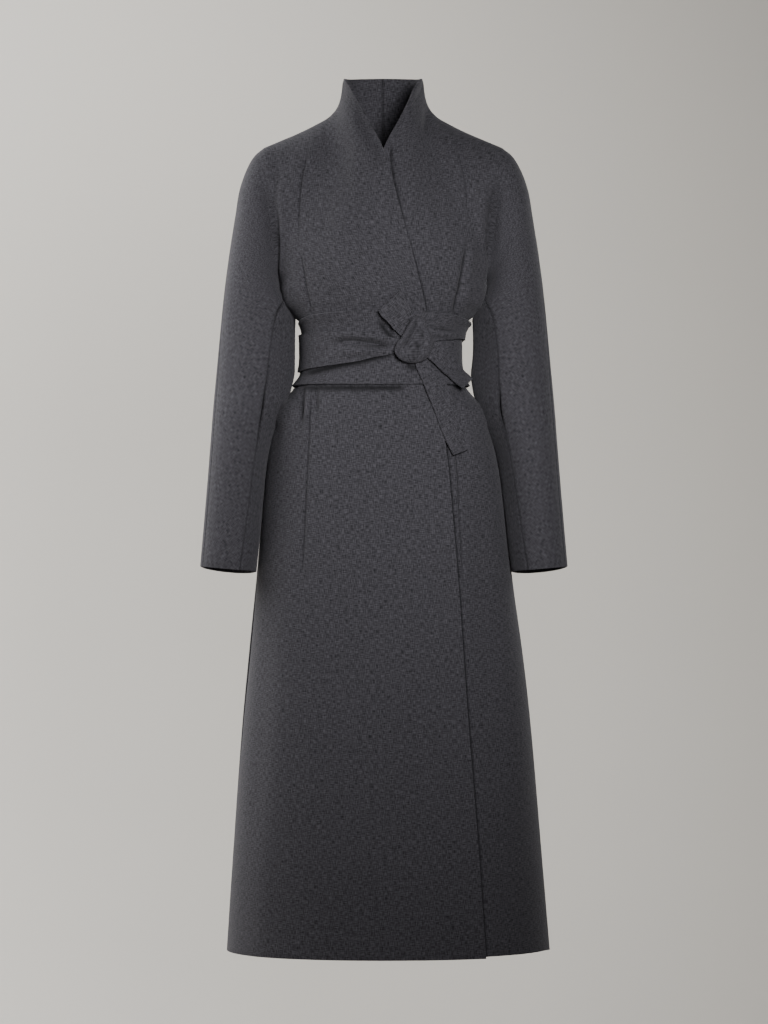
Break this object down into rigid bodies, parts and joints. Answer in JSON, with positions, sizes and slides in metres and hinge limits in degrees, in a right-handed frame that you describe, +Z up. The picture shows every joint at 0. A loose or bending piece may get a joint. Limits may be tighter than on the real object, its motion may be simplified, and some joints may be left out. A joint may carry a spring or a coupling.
{
  "type": "wrap coat",
  "caption": "Long wrap coat with kimono sleeves, a grown-on funnel collar and a wide belt tied in a half bow, hollow in its worn form.",
  "frame": {"origin": "middle of the neck base, where the wearer's neck and shoulders hold the coat up", "axes": "+Z up along the wearer, -Y to the wearer's front, -X to the wearer's right"},
  "size_m": [0.5233, 0.3882, 1.2499],
  "materials": {
    "wool": "matte charcoal melange wool suiting, plain weave with fine slubs",
    "belt_wool": "the same charcoal wool, doubled for the belt"
  },
  "bodies": {
    "root": {"front_right": "wool", "front_left": "wool", "back_right": "wool", "back_left": "wool", "under_sleeve_right": "wool", "under_sleeve_left": "wool", "obi": "belt_wool", "tie_band": "belt_wool", "knot": "belt_wool", "knot_loop": "belt_wool", "tail_side": "belt_wool", "tail_down": "belt_wool"}
  },
  "joints": []
}
